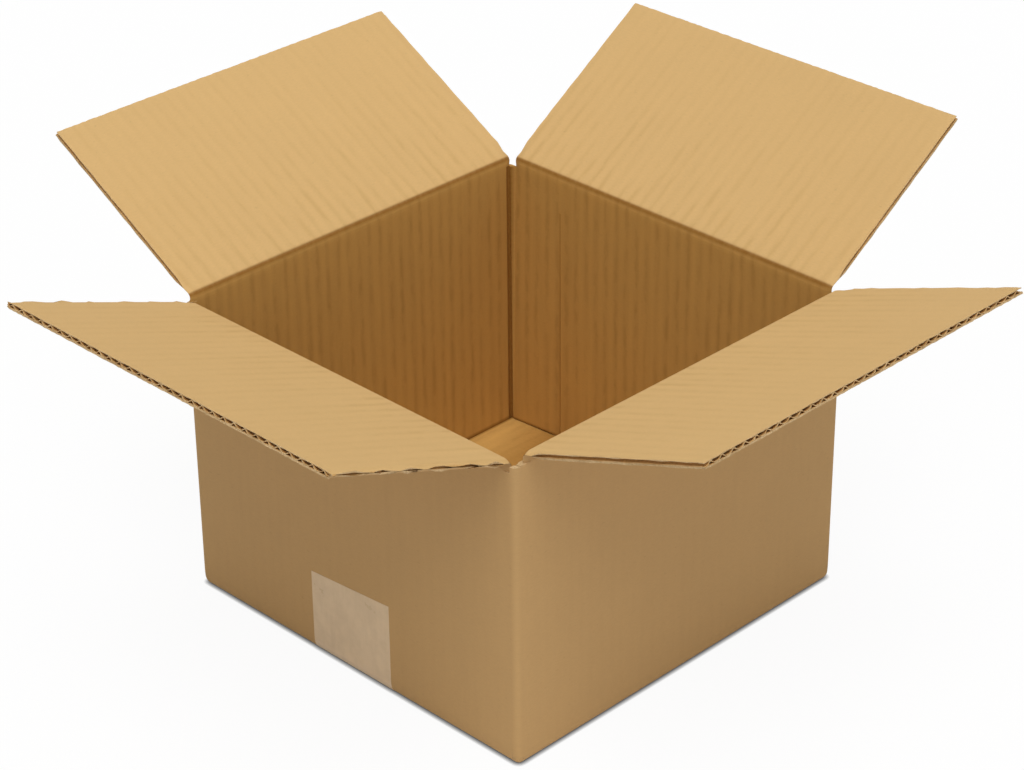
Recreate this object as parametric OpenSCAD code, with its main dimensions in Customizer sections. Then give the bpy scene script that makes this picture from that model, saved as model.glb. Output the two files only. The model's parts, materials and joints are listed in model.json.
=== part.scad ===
// Open corrugated shipping box: slotted carton with four top flaps, taped along its bottom seam.
// The origin is the middle of the underside. X runs along the taped seam, Y across it and Z up.
// The outer flaps hang on the back (+Y) and front (-Y) walls.
// The inner flaps hang on the left (-X) and right (+X) walls.

/* [Box] */
// Inside length, along the taped seam
inside_l = 200; // [150:1:300]
// Inside width, across the taped seam
inside_w = 200; // [150:1:300]
// Inside height, from the floor to the closed inner flaps
inside_h = 140; // [80:1:250]
// Inside radius of every fold
fold_inner_r = 0.5; // [0.3:0.1:2]

/* [Board] */
// Thickness of the corrugated board
board_t = 3; // [2.4:0.1:4.5]
// Spacing of the flutes, rounded so that whole flutes fill a flap
flute_pitch = 6.5; // [5:0.1:9]
// Thickness of each flat liner
liner_t = 0.4; // [0.2:0.05:0.5]
// Thickness of the fluted paper between the liners
medium_t = 0.3; // [0.15:0.05:0.4]
// Air between boards that lie on each other
layer_gap = 0.3; // [0.2:0.05:1]

/* [Top flaps] */
// Space left between two flaps that meet in the middle
meet_gap = 1; // [0.6:0.1:5]
// Lean of the back flap from upright, outward
back_angle = 60.5; // [-90:0.5:140]
// Lean of the front flap from upright, outward
front_angle = 70; // [-90:0.5:140]
// Lean of the left flap from upright, outward
left_angle = 69.5; // [-90:0.5:140]
// Lean of the right flap from upright, outward
right_angle = 57; // [-90:0.5:140]

/* [Slots] */
// Distance of an outer flap's side edge from the outside of the end wall
outer_inset = 2.5; // [2:0.1:4]
// Same distance beside the glue tab, where the slot is wider
tab_inset = 4; // [3:0.1:6]
// Distance of a flap's side edge from the outside of the next wall, where the slot is cut out of that flap
cut_inset = 6; // [4:0.1:10]
// Clearance between an inner flap's side edge and the inside of the long wall
inner_clear = 0.8; // [0.6:0.1:3]
// How far a top slot runs down past the inner flaps' crease
slot_overcut = 2; // [1:0.1:6]
// Height at which a corner fold starts above a bottom slot
corner_foot = 2; // [1:0.1:3]

/* [Crease] */
// Radius of the crushed roll that a flap turns on
crease_r = 0.45; // [0.3:0.05:0.6]
// Gap between that roll and the wall's rim
crease_gap = 0.15; // [0.1:0.01:0.3]
// Slope of the crushed board on the outside
crush_out_angle = 18; // [15:0.5:19]
// Slope of the crushed board on the inside
crush_in_angle = 40; // [30:1:43]

/* [Glue tab] */
// Width of the tab, from the outside of the back wall
tab_w = 35; // [25:1:50]
// How much each slanted end of the tab rises towards its free edge
tab_slant = 10; // [4:1:20]
// Depth to which the glued tab is pressed into the wall
glue_sink = 0.1; // [0.05:0.01:0.2]
// Distance of the glued wall's raw edge from the outside of the back wall
raw_edge_inset = 0.5; // [0.3:0.1:2]

/* [Tape] */
// Width of the tape
tape_w = 50; // [36:1:75]
// Thickness of the tape, and depth to which it is pressed into the board below
tape_t = 0.1; // [0.05:0.01:0.2]
// Height of the tape's ends on the end walls
tape_rise = 43; // [20:1:70]
// Clearance beside the tape in its pressed seat
tape_clear = 0.2; // [0.1:0.05:0.5]

/* [Hidden] */
$fn = 64;
kraft = [0.78, 0.62, 0.42];
tape_colour = [0.80, 0.72, 0.58];

// Distance by which a cut runs past the face it opens
overrun = 1;
// Outside of the walls, from the middle
half_l = inside_l / 2 + board_t;
half_w = inside_w / 2 + board_t;
// Outside radius of every fold
fold_r = fold_inner_r + board_t;
// The inner bottom flaps lie on the outer ones, and the floor is their top
inner_z = board_t + layer_gap;
floor_z = inner_z + board_t;
// The outer flaps close on top of the inner ones, so their crease is one board higher
inner_crease_z = floor_z + inside_h + board_t / 2;
outer_crease_z = inner_crease_z + board_t + layer_gap;
corner_top = inner_crease_z - slot_overcut;
// Length of a flap from its crease, so that a pair meets in the middle
outer_len = (inside_w + board_t - meet_gap) / 2;
inner_len = min(outer_len, (inside_l + board_t - meet_gap) / 2);
// Half widths of the flaps
outer_half = half_l - outer_inset;
tab_side_half = half_l - tab_inset;
outer_cut_half = half_l - cut_inset;
inner_half = inside_w / 2 - inner_clear;
inner_cut_half = half_w - cut_inset;
// Heights over which the crushed board thins to the crease
crush_out = board_t / 2 / tan(crush_out_angle);
crush_in = board_t / 2 / tan(crush_in_angle);
rim_gap = crease_r + crease_gap;
// Height of the fluted paper's wave, from its middle line
wave_h = board_t / 2 - liner_t - medium_t / 2;
// Points across one flute, as shares of the pitch from its middle
flute_shares = [-0.37, -0.2, 0, 0.2, 0.37];
// Place of the back wall's fold into the tab, and heights of the tab
tab_fold_x = half_l - board_t - fold_r + glue_sink;
tab_foot = floor_z + layer_gap;
// Centre of the end wall's bottom fold, which the tape runs over
end_fold = [half_l - fold_r, inner_z + fold_r];

// Draws a section along the wall. Its x points outward from the wall's outside and its y points up
module along_wall(from, to) {
    translate([from, 0, 0])
        rotate([90, 0, 90])
            linear_extrude(to - from)
                children();
}

// Places a wall that is drawn with its outside facing +Y
module on_back() {
    translate([0, half_w, 0])
        children();
}

module on_front() {
    rotate([0, 0, 180])
        translate([0, half_w, 0])
            children();
}

module on_left() {
    rotate([0, 0, 90])
        translate([0, half_l, 0])
            children();
}

module on_right() {
    rotate([0, 0, -90])
        translate([0, half_l, 0])
            children();
}

// Quarter of a folded board around the origin, in the quarter with x above zero and y below zero
module fold_section() {
    intersection() {
        difference() {
            circle(fold_r);
            circle(fold_inner_r);
        }
        translate([0, -fold_r])
            square(fold_r);
    }
}

// Upright board of a wall between its folds, up to where the rim is crushed
module wall_section(foot_z, crease_z) {
    translate([-board_t, foot_z + fold_r])
        square([board_t, crease_z - crush_out - foot_z - fold_r]);
}

// Rim of a wall, crushed towards the crease, with a short length of the board below it
module rim_section(crease_z) {
    axis_x = -board_t / 2;
    below_z = crease_z - crush_out - board_t;
    polygon([
        [0, below_z],
        [0, crease_z - crush_out],
        [axis_x + rim_gap * tan(crush_out_angle), crease_z - rim_gap],
        [axis_x - rim_gap * tan(crush_in_angle), crease_z - rim_gap],
        [-board_t, crease_z - crush_in],
        [-board_t, below_z],
    ]);
}

// Bottom flap with its fold and a short length of the wall above it
module floor_section(foot_z, reach) {
    translate([-board_t, foot_z + fold_r])
        square(board_t);
    translate([-fold_r, foot_z + fold_r])
        fold_section();
    translate([-reach, foot_z])
        square([reach - fold_r, board_t]);
}

// One wall with its bottom flap and its rim. The flaps reach from flap_from to flap_to
module panel(wall_from, wall_to, flap_from, flap_to, foot_z, reach, crease_z) {
    along_wall(wall_from, wall_to)
        wall_section(foot_z, crease_z);
    along_wall(flap_from, flap_to) {
        rim_section(crease_z);
        floor_section(foot_z, reach);
    }
}

// Vertical fold between two walls, around the corner's own centre
module corner_fold(centre, turn) {
    translate([centre[0], centre[1], corner_foot])
        rotate([0, 0, turn])
            linear_extrude(corner_top - corner_foot)
                fold_section();
}

// Tab glued inside the right wall, with slanted ends
module glue_tab() {
    tab_x = half_l - board_t + glue_sink;
    free_y = half_w - tab_w;
    root_y = half_w - fold_r;
    translate([tab_x, 0, 0])
        rotate([90, 0, -90])
            linear_extrude(board_t)
                polygon([
                    [-root_y, tab_foot],
                    [-free_y, tab_foot + tab_slant],
                    [-free_y, corner_top - tab_slant],
                    [-root_y, corner_top],
                ]);
}

module carton_body() {
    color(kraft)
        difference() {
            union() {
                on_back()
                    panel(-half_l + fold_r, tab_fold_x, -outer_half, tab_side_half,
                        0, half_w - meet_gap / 2, outer_crease_z);
                on_front()
                    panel(-half_l + fold_r, half_l - fold_r, -outer_half, outer_cut_half,
                        0, half_w - meet_gap / 2, outer_crease_z);
                on_left()
                    panel(-half_w + fold_r, half_w - fold_r, -inner_half, inner_half,
                        inner_z, inner_len + board_t / 2, inner_crease_z);
                on_right()
                    panel(-half_w + raw_edge_inset, half_w - fold_r, -inner_half, inner_cut_half,
                        inner_z, inner_len + board_t / 2, inner_crease_z);
                corner_fold([half_l - fold_r, -half_w + fold_r], 0);
                corner_fold([-half_l + fold_r, -half_w + fold_r], -90);
                corner_fold([-half_l + fold_r, half_w - fold_r], 180);
                corner_fold([tab_fold_x, half_w - fold_r], 90);
                glue_tab();
            }
            tape_seat();
        }
}

// Shallow seat that the tape is pressed into along the bottom seam
module tape_seat() {
    seat_w = tape_w + 2 * tape_clear;
    translate([-half_l - overrun, -seat_w / 2, -overrun])
        cube([2 * (half_l + overrun), seat_w, overrun + tape_t]);
}

// Section of a flap across its flutes, from its left edge
module fluted_section(width) {
    count = round(width / flute_pitch);
    pitch = width / count;
    difference() {
        translate([0, -board_t / 2])
            square([width, board_t]);
        for (i = [0 : count])
            translate([i * pitch, 0])
                flute_cell(pitch);
        for (i = [0 : count - 1])
            translate([(i + 1 / 2) * pitch, 0])
                mirror([0, 1])
                    flute_cell(pitch);
    }
}

// Air between the outer liner and a hollow of the wave
module flute_cell(pitch) {
    liner_y = board_t / 2 - liner_t;
    last = len(flute_shares) - 1;
    polygon(concat(
        [for (s = flute_shares) [s * pitch, medium_t / 2 - wave_h * cos(360 * s)]],
        [[flute_shares[last] * pitch, liner_y], [flute_shares[0] * pitch, liner_y]]
    ));
}

// Root of a flap, crushed towards the roll that it turns on
module root_section() {
    circle(crease_r);
    polygon([
        [0, 0],
        [board_t / 2, crush_out],
        [-board_t / 2, crush_out],
        [-board_t / 2, crush_in],
    ]);
}

// Top flap on its crease, leaning outward from upright
module top_flap(from, to, length, crease_z, lean) {
    translate([0, -board_t / 2, crease_z])
        rotate([-lean, 0, 0]) {
            along_wall(from, to)
                root_section();
            translate([from, 0, crush_out])
                linear_extrude(length - crush_out)
                    fluted_section(to - from);
        }
}

module back_flap() {
    color(kraft)
        on_back()
            top_flap(-outer_half, tab_side_half, outer_len, outer_crease_z, back_angle);
}

module front_flap() {
    color(kraft)
        on_front()
            top_flap(-outer_half, outer_cut_half, outer_len, outer_crease_z, front_angle);
}

module left_flap() {
    color(kraft)
        on_left()
            top_flap(-inner_half, inner_half, inner_len, inner_crease_z, left_angle);
}

module right_flap() {
    color(kraft)
        on_right()
            top_flap(-inner_half, inner_cut_half, inner_len, inner_crease_z, right_angle);
}

// One end of the tape, from the side of the outer bottom flaps up over the fold to the end wall
module tape_end(flap_side) {
    tape_turn = [flap_side, tape_t];
    to_turn = tape_turn - end_fold;
    touch_angle = atan2(to_turn[1], to_turn[0]) + acos(fold_r / norm(to_turn));
    touch_dir = [cos(touch_angle), sin(touch_angle)];
    touch = end_fold + fold_r * touch_dir;
    turn_out = tape_turn + tape_t * touch_dir;
    polygon([tape_turn, [flap_side, 0], turn_out]);
    polygon([tape_turn, turn_out, touch + tape_t * touch_dir, touch]);
    translate(end_fold)
        intersection() {
            difference() {
                circle(fold_r + tape_t);
                circle(fold_r);
            }
            polygon([[0, 0], [2 * fold_r, 2 * fold_r * tan(touch_angle)], [2 * fold_r, 0]]);
        }
    translate([half_l, end_fold[1]])
        square([tape_t, tape_rise - end_fold[1]]);
}

module sealing_tape() {
    color(tape_colour)
        translate([0, tape_w / 2, 0])
            rotate([90, 0, 0])
                linear_extrude(tape_w) {
                    translate([-outer_half, 0])
                        square([2 * outer_half, tape_t]);
                    tape_end(outer_half);
                    mirror([1, 0])
                        tape_end(outer_half);
                }
}

carton_body();
back_flap();
front_flap();
left_flap();
right_flap();
sealing_tape();
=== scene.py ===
import json
import math

import bmesh
import bpy
from mathutils import Matrix, Vector
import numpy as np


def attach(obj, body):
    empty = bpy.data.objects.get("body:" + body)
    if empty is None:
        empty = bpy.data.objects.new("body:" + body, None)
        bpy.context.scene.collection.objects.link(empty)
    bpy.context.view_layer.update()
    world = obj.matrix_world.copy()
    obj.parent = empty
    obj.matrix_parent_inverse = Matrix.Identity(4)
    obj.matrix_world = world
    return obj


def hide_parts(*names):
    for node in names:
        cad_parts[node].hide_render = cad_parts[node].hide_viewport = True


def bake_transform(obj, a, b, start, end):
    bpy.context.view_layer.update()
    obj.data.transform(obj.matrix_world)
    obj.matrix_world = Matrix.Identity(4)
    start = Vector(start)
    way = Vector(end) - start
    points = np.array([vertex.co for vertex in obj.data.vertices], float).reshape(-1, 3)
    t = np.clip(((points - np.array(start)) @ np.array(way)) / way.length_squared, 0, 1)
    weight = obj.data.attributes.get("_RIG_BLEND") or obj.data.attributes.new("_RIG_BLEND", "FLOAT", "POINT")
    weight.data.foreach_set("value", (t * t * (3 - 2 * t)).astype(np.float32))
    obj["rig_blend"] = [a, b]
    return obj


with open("model.json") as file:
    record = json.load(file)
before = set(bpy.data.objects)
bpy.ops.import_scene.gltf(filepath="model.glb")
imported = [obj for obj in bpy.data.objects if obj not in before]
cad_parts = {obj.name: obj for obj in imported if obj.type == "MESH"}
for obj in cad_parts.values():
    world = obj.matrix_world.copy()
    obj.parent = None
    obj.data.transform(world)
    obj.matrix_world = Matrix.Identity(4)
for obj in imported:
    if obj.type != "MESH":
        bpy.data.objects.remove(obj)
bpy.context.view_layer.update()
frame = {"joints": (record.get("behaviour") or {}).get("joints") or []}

mm = 0.001
tiny = 0.01 * mm  # reach of a selection by place
quarter = math.pi / 2

board = 3 * mm  # thickness of the corrugated board
flutePitch = 6.5 * mm
bentStrip = 5 * mm  # strip of a wall under the hinge that bends with the flap
hinges = {joint["child"]: joint["pos_m"] for joint in frame["joints"]}  # a point on each flap's hinge


# Small helpers for working as in the viewport

def say(stage):
    print("carton:", stage)


def selectOnly(*pieces):
    bpy.ops.object.select_all(action="DESELECT")
    for piece in pieces:
        piece.select_set(True)
    bpy.context.view_layer.objects.active = pieces[-1]


def openEdit(piece):
    selectOnly(piece)
    bpy.ops.object.mode_set(mode="EDIT")


def closeEdit():
    bpy.ops.object.mode_set(mode="OBJECT")


def pickVerts(piece, test):
    bpy.ops.mesh.select_all(action="DESELECT")
    mesh = bmesh.from_edit_mesh(piece.data)
    for vert in mesh.verts:
        if test(vert):
            vert.select_set(True)
    mesh.select_flush(True)
    bmesh.update_edit_mesh(piece.data)


def pickedVerts(piece):
    return {vert.index for vert in bmesh.from_edit_mesh(piece.data).verts if vert.select}


def pickFaces(piece, test):
    bpy.ops.mesh.select_all(action="DESELECT")
    mesh = bmesh.from_edit_mesh(piece.data)
    for face in mesh.faces:
        if test(face):
            face.select_set(True)
    bmesh.update_edit_mesh(piece.data)


def addSheet(name, centre, size, rotation):
    bpy.ops.object.select_all(action="DESELECT")
    bpy.ops.mesh.primitive_plane_add(size=1, location=centre, rotation=rotation)
    sheet = bpy.context.object
    sheet.name = sheet.data.name = name
    sheet.scale = (size[0], size[1], 1)
    bpy.ops.object.transform_apply(location=True, rotation=True, scale=True)
    return sheet


def cutAt(point, normal):
    bpy.ops.mesh.select_all(action="SELECT")
    bpy.ops.mesh.bisect(plane_co=point, plane_no=normal)


def pull(x, y, z):
    bpy.ops.mesh.extrude_region_move(TRANSFORM_OT_translate={"value": (x, y, z)})


def move(x, y, z):
    bpy.ops.transform.translate(value=(x, y, z))


def scaleFrom(centre, x, y, z):
    bpy.ops.transform.resize(value=(x, y, z), center_override=centre)


def roll(centre, axis, angle, steps):  # spin runs the other way with no window, so the angle is turned round
    bpy.ops.mesh.spin(steps=steps, angle=-angle, center=centre, axis=axis)


def turn(angle, axis, centre):  # rotate runs the other way too
    bpy.ops.transform.rotate(value=-angle, orient_axis=axis, center_override=centre)


def applyModifier(piece, kind, **values):
    selectOnly(piece)
    modifier = piece.modifiers.new(kind.title(), kind)
    for key, value in values.items():
        setattr(modifier, key, value)
    bpy.ops.object.modifier_apply(modifier=modifier.name)


def addMarks(piece, *names):  # a number at each vertex, for the materials and the bends to read
    for name in names:
        piece.data.attributes.new(name, "FLOAT", "POINT")
    return [piece.data.attributes[name] for name in names]


# Node helpers for the materials

def addNode(tree, kind, **settings):
    node = tree.nodes.new(kind)
    for key, value in settings.items():
        setattr(node, key, value)
    return node


def feed(tree, socket, value):
    if hasattr(value, "is_output"):
        tree.links.new(value, socket)
    else:
        socket.default_value = value


def mathNode(tree, operation, first, second=None, third=None, clamp=False):
    node = addNode(tree, "ShaderNodeMath", operation=operation, use_clamp=clamp)
    for socket, value in zip(node.inputs, (first, second, third)):
        if value is not None:
            feed(tree, socket, value)
    return node.outputs[0]


def between(tree, share, low, high):
    return mathNode(tree, "MULTIPLY_ADD", share, high - low, low)


def weigh(tree, first, second, share):  # a share of the first, and the rest of the second
    return mathNode(tree, "MULTIPLY_ADD", first, share, mathNode(tree, "MULTIPLY", second, 1 - share))


def mixColour(tree, share, first, second):
    node = addNode(tree, "ShaderNodeMix", data_type="RGBA")
    feed(tree, node.inputs["Factor"], share)
    feed(tree, node.inputs[6], first)  # the colour sockets share their names with other kinds
    feed(tree, node.inputs[7], second)
    return node.outputs[2]


def noise(tree, vector, scale, detail=3.0, roughness=0.55, stretch=None):
    if stretch:
        mapping = addNode(tree, "ShaderNodeMapping")
        mapping.inputs["Scale"].default_value = stretch
        feed(tree, mapping.inputs["Vector"], vector)
        vector = mapping.outputs["Vector"]
    node = addNode(tree, "ShaderNodeTexNoise")
    node.inputs["Scale"].default_value = scale
    node.inputs["Detail"].default_value = detail
    node.inputs["Roughness"].default_value = roughness
    feed(tree, node.inputs["Vector"], vector)
    return node.outputs["Fac"]


def ramp(tree, value, low, high):
    node = addNode(tree, "ShaderNodeMapRange", interpolation_type="SMOOTHSTEP")
    feed(tree, node.inputs["Value"], value)
    node.inputs["From Min"].default_value = low
    node.inputs["From Max"].default_value = high
    return node.outputs["Result"]


def bump(tree, height, distance, strength=1.0, under=None):
    node = addNode(tree, "ShaderNodeBump")
    node.inputs["Distance"].default_value = distance
    node.inputs["Strength"].default_value = strength
    tree.links.new(height, node.inputs["Height"])
    if under:
        tree.links.new(under, node.inputs["Normal"])
    return node.outputs["Normal"]


def mark(tree, name):
    return addNode(tree, "ShaderNodeAttribute", attribute_name=name).outputs["Fac"]


def newMaterial(name):
    material = bpy.data.materials.new(name)
    material.use_nodes = True
    tree = material.node_tree
    return material, tree, tree.nodes["Principled BSDF"]


def newGroup(name, inputs, outputs):
    group = bpy.data.node_groups.new(name, "ShaderNodeTree")
    for label, kind, value in inputs:
        socket = group.interface.new_socket(label, in_out="INPUT", socket_type=kind)
        if value is not None:
            socket.default_value = value
    for label in outputs:
        group.interface.new_socket(label, in_out="OUTPUT", socket_type="NodeSocketFloat")
    return group, addNode(group, "NodeGroupInput"), addNode(group, "NodeGroupOutput")


def useGroup(tree, group, **values):
    node = addNode(tree, "ShaderNodeGroup", node_tree=group)
    for label, value in values.items():
        feed(tree, node.inputs[label], value)
    return node


# Paper grain: clouds, short fibres across the flutes and single dark specks, all on the flat sheet

grainLook = {
    "wide": {"scale": 28, "detail": 4, "roughness": 0.6},
    "patch": {"scale": 170, "stretch": (0.7, 1, 1)},
    "wideShare": 0.6,
    "fibre": {"scale": 1500, "detail": 2, "roughness": 0.6, "stretch": (0.3, 1, 1)},
    "fine": {"scale": 2600, "detail": 1},
    "fibreShare": 0.65,
    "speck": {"scale": 700, "detail": 2, "stretch": (0.5, 1, 1)},
    "speckRange": (0.66, 0.74),
    "speckDark": 0.07,
    "middle": 0.5,  # a noise's middle value, which leaves the tone as it is
}


def makePaperGrain(look):
    group, source, sink = newGroup(
        "paperGrain",
        [("Sheet", "NodeSocketVector", None), ("Clouds", "NodeSocketFloat", 0.05),
         ("Fibres", "NodeSocketFloat", 0.1)],
        ["Tone", "Height"])
    sheet = source.outputs["Sheet"]
    wide, patch, fibre, fine, speck = (noise(group, sheet, **look[key])
                                       for key in ("wide", "patch", "fibre", "fine", "speck"))
    clouds = mathNode(group, "SUBTRACT", weigh(group, wide, patch, look["wideShare"]), look["middle"])
    clouds = mathNode(group, "MULTIPLY", clouds, source.outputs["Clouds"])
    grain = weigh(group, fibre, fine, look["fibreShare"])
    fibres = mathNode(group, "SUBTRACT", grain, look["middle"])
    fibres = mathNode(group, "MULTIPLY", fibres, source.outputs["Fibres"])
    tone = mathNode(group, "ADD", mathNode(group, "ADD", clouds, fibres), 1.0)
    specks = ramp(group, speck, *look["speckRange"])
    tone = mathNode(group, "MULTIPLY_ADD", specks, -look["speckDark"], tone)
    group.links.new(tone, sink.inputs["Tone"])
    group.links.new(grain, sink.inputs["Height"])
    return group


# Washboard: the flutes press through the liner, each a little differently along its length

washboardLook = {
    "wander": {"scale": 60, "detail": 2, "stretch": (1, 0.12, 1)},
    "wanderReach": 0.3,  # in flutes
    "strength": {"scale": 95, "stretch": (1, 0.16, 1)},
    "strengthRange": (0.2, 0.66),
    "broken": {"scale": 160, "stretch": (1.6, 0.5, 1)},
    "brokenRange": (0.4, 0.6),
    "brokenLine": (0.4, 1.15),  # a line's strength where it is broken and where it is whole
    "lineSharp": 1.6,
    "streak": {"scale": 230, "detail": 4, "roughness": 0.6, "stretch": (1, 0.06, 1)},
    "streakMiddle": 0.5,
}


def makeWashboard(look):
    group, source, sink = newGroup(
        "washboard",
        [("Sheet", "NodeSocketVector", None), ("Pitch", "NodeSocketFloat", flutePitch)],
        ["Line", "Streak", "Height"])
    sheet = source.outputs["Sheet"]
    wander, strength, broken, streak = (noise(group, sheet, **look[key])
                                        for key in ("wander", "strength", "broken", "streak"))
    across = addNode(group, "ShaderNodeSeparateXYZ")
    feed(group, across.inputs[0], sheet)
    phase = mathNode(group, "DIVIDE", across.outputs["X"], source.outputs["Pitch"])
    phase = mathNode(group, "MULTIPLY_ADD", wander, look["wanderReach"], phase)
    wave = mathNode(group, "COSINE", mathNode(group, "MULTIPLY", phase, 2 * math.pi))
    wave = mathNode(group, "MULTIPLY_ADD", wave, 0.5, 0.5)  # from 0 to 1
    strength = ramp(group, strength, *look["strengthRange"])
    whole = between(group, ramp(group, broken, *look["brokenRange"]), *look["brokenLine"])
    line = mathNode(group, "MULTIPLY", mathNode(group, "POWER", wave, look["lineSharp"]), strength)
    group.links.new(mathNode(group, "MULTIPLY", line, whole), sink.inputs["Line"])
    group.links.new(mathNode(group, "SUBTRACT", streak, look["streakMiddle"]), sink.inputs["Streak"])
    group.links.new(mathNode(group, "MULTIPLY", wave, strength), sink.inputs["Height"])
    return group


paperGrain = makePaperGrain(grainLook)
washboard = makeWashboard(washboardLook)

liners = {
    "innerLiner": {  # the face that shows inside the box and on top of the open flaps
        "colour": (0.665, 0.43, 0.178, 1),
        # a darker, richer copy of the colour, painted as the shade of the inside walls
        "insideShadeColour": (0.588, 0.339, 0.0935, 1),
        # colour of the flute lines: partly the glue lines' tint, partly painted shade of the washboard ridges
        "shade": (0.444, 0.248, 0.0655, 1),
        # crease colour: painted shade of the score grooves and creases, with a little darkening of the
        # crushed fibres
        "crease": (0.25, 0.1, 0.009, 1),
        "clouds": 0.09, "fibres": 0.2, "lineTintAndShade": 0.62, "streaks": 0.2,
        "creaseShadeShare": 0.9, "lineHeight": 0.05 * mm,
    },
    "outerLiner": {  # smoother and a little greyer
        "colour": (0.524, 0.321, 0.132, 1),
        # the same as the colour: the outside has no painted shade copy
        "insideShadeColour": (0.524, 0.321, 0.132, 1),
        "shade": (0.423, 0.244, 0.092, 1),
        "crease": (0.414, 0.248, 0.106, 1),
        "clouds": 0.1, "fibres": 0.2, "lineTintAndShade": 0.06, "streaks": 0.05,
        "creaseShadeShare": 0.35, "lineHeight": 0.015 * mm,
    },
}

linerFinish = {  # the same on both faces
    "mottle": {"scale": 420, "roughness": 0.65, "stretch": (1, 1.4, 1)},
    "mottleRange": (0.65, 1.15),  # how much of the crease's painted shade and wear it leaves
    "roughness": (0.7, 0.82),
    "specular": 0.25,
    "toothHeight": 0.02 * mm,
    "toothStrength": 0.25,
}


def makeLiner(name, look, finish):
    material, tree, shader = newMaterial(name)
    sheet = addNode(tree, "ShaderNodeUVMap", uv_map="sheet").outputs["UV"]
    grain = useGroup(tree, paperGrain, Sheet=sheet, Clouds=look["clouds"], Fibres=look["fibres"])
    flutes = useGroup(tree, washboard, Sheet=sheet)
    shown = mark(tree, "fluteShow")
    lineTintAndShade, streaks = (mathNode(tree, "MULTIPLY", flutes.outputs[key], shown) for key in ("Line", "Streak"))
    # the inside walls and the flaps' strip below the crease take the darker copy as painted shade
    colour = mixColour(tree, mark(tree, "insidePaintedShade"), look["colour"], look["insideShadeColour"])
    # darker flute lines: partly the glue lines' tint, partly painted shade of the washboard ridges
    colour = mixColour(tree, mathNode(tree, "MULTIPLY", lineTintAndShade, look["lineTintAndShade"]), colour, look["shade"])
    mottle = between(tree, noise(tree, sheet, **finish["mottle"]), *finish["mottleRange"])
    # mixes in the crease colour: mostly painted shade in the grooves and creases, partly crushed-fibre wear
    shadedAndWorn = mathNode(tree, "MULTIPLY", mark(tree, "creaseShadeAndWear"), mottle, clamp=True)
    colour = mixColour(tree, mathNode(tree, "MULTIPLY", shadedAndWorn, look["creaseShadeShare"]), colour, look["crease"])
    tone = addNode(tree, "ShaderNodeVectorMath", operation="SCALE")
    feed(tree, tone.inputs[0], colour)
    streaks = mathNode(tree, "MULTIPLY", streaks, look["streaks"])
    feed(tree, tone.inputs["Scale"], mathNode(tree, "ADD", grain.outputs["Tone"], streaks))
    tree.links.new(tone.outputs["Vector"], shader.inputs["Base Color"])
    tree.links.new(between(tree, grain.outputs["Height"], *finish["roughness"]), shader.inputs["Roughness"])
    shader.inputs["Specular IOR Level"].default_value = finish["specular"]
    relief = bump(tree, flutes.outputs["Height"], look["lineHeight"])
    tooth = bump(tree, grain.outputs["Height"], finish["toothHeight"], finish["toothStrength"], relief)
    tree.links.new(tooth, shader.inputs["Normal"])
    return material


innerLiner = makeLiner("innerLiner", liners["innerLiner"], linerFinish)
outerLiner = makeLiner("outerLiner", liners["outerLiner"], linerFinish)

rawPaper = {
    "flutedPaper": {"colour": (0.72, 0.45, 0.18, 1), "dark": (0.56, 0.33, 0.12, 1), "fibreScale": 900},
    "cutEdge": {"colour": (0.7, 0.5, 0.27, 1), "dark": (0.46, 0.3, 0.14, 1), "fibreScale": 1400},
}

rawFinish = {
    "fibreRoughness": 0.6,
    "blot": {"scale": 130},
    "fibreShare": 0.6,
    "paleRange": (0.35, 0.68),
    "roughness": 0.9,
    "specular": 0.15,
    "height": 0.05 * mm,
}


def makeRawPaper(name, look, finish):
    material, tree, shader = newMaterial(name)
    place = addNode(tree, "ShaderNodeTexCoord").outputs["Object"]
    fibre = noise(tree, place, look["fibreScale"], roughness=finish["fibreRoughness"])
    share = weigh(tree, fibre, noise(tree, place, **finish["blot"]), finish["fibreShare"])
    colour = mixColour(tree, ramp(tree, share, *finish["paleRange"]), look["dark"], look["colour"])
    tree.links.new(colour, shader.inputs["Base Color"])
    shader.inputs["Roughness"].default_value = finish["roughness"]
    shader.inputs["Specular IOR Level"].default_value = finish["specular"]
    tree.links.new(bump(tree, fibre, finish["height"]), shader.inputs["Normal"])
    return material


flutedPaper = makeRawPaper("flutedPaper", rawPaper["flutedPaper"], rawFinish)
cutEdge = makeRawPaper("cutEdge", rawPaper["cutEdge"], rawFinish)
say("paper materials made")


# The sheet's own coordinates, in metres: across the flutes round the box, and up along them

corner = {
    "mid": hinges["back_flap"][1],  # middle of the board, and of its folds
    "radius": 2 * mm,
    "squareness": 0.8,  # 1 is a round fold, and less is a tighter one
    "footSquareness": 0.5,
    "leastShare": 0.01,  # below this a fold is left as it is
    "slack": 0.15 * mm,  # the board's thickness puts a fold's points this near to its true curve
}
corner["outer"] = corner["radius"] + board / 2
corner["flat"] = corner["mid"] - corner["radius"]
wallRun = 2 * corner["flat"] + quarter * corner["radius"]  # one wall and one fold of the flat sheet
wallStart = {"back": 0.0, "left": -wallRun, "front": -2 * wallRun, "right": -3 * wallRun}


def acrossOf(side, x, y):
    along = {"back": x, "left": y, "front": -x, "right": -y}[side]
    return wallStart[side] + along


def cornerAngle(x, y):
    return math.atan2(abs(y) - corner["flat"], abs(x) - corner["flat"])


# The walls, the glue tab and the bottom flaps: one sheet, rolled round and folded

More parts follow.
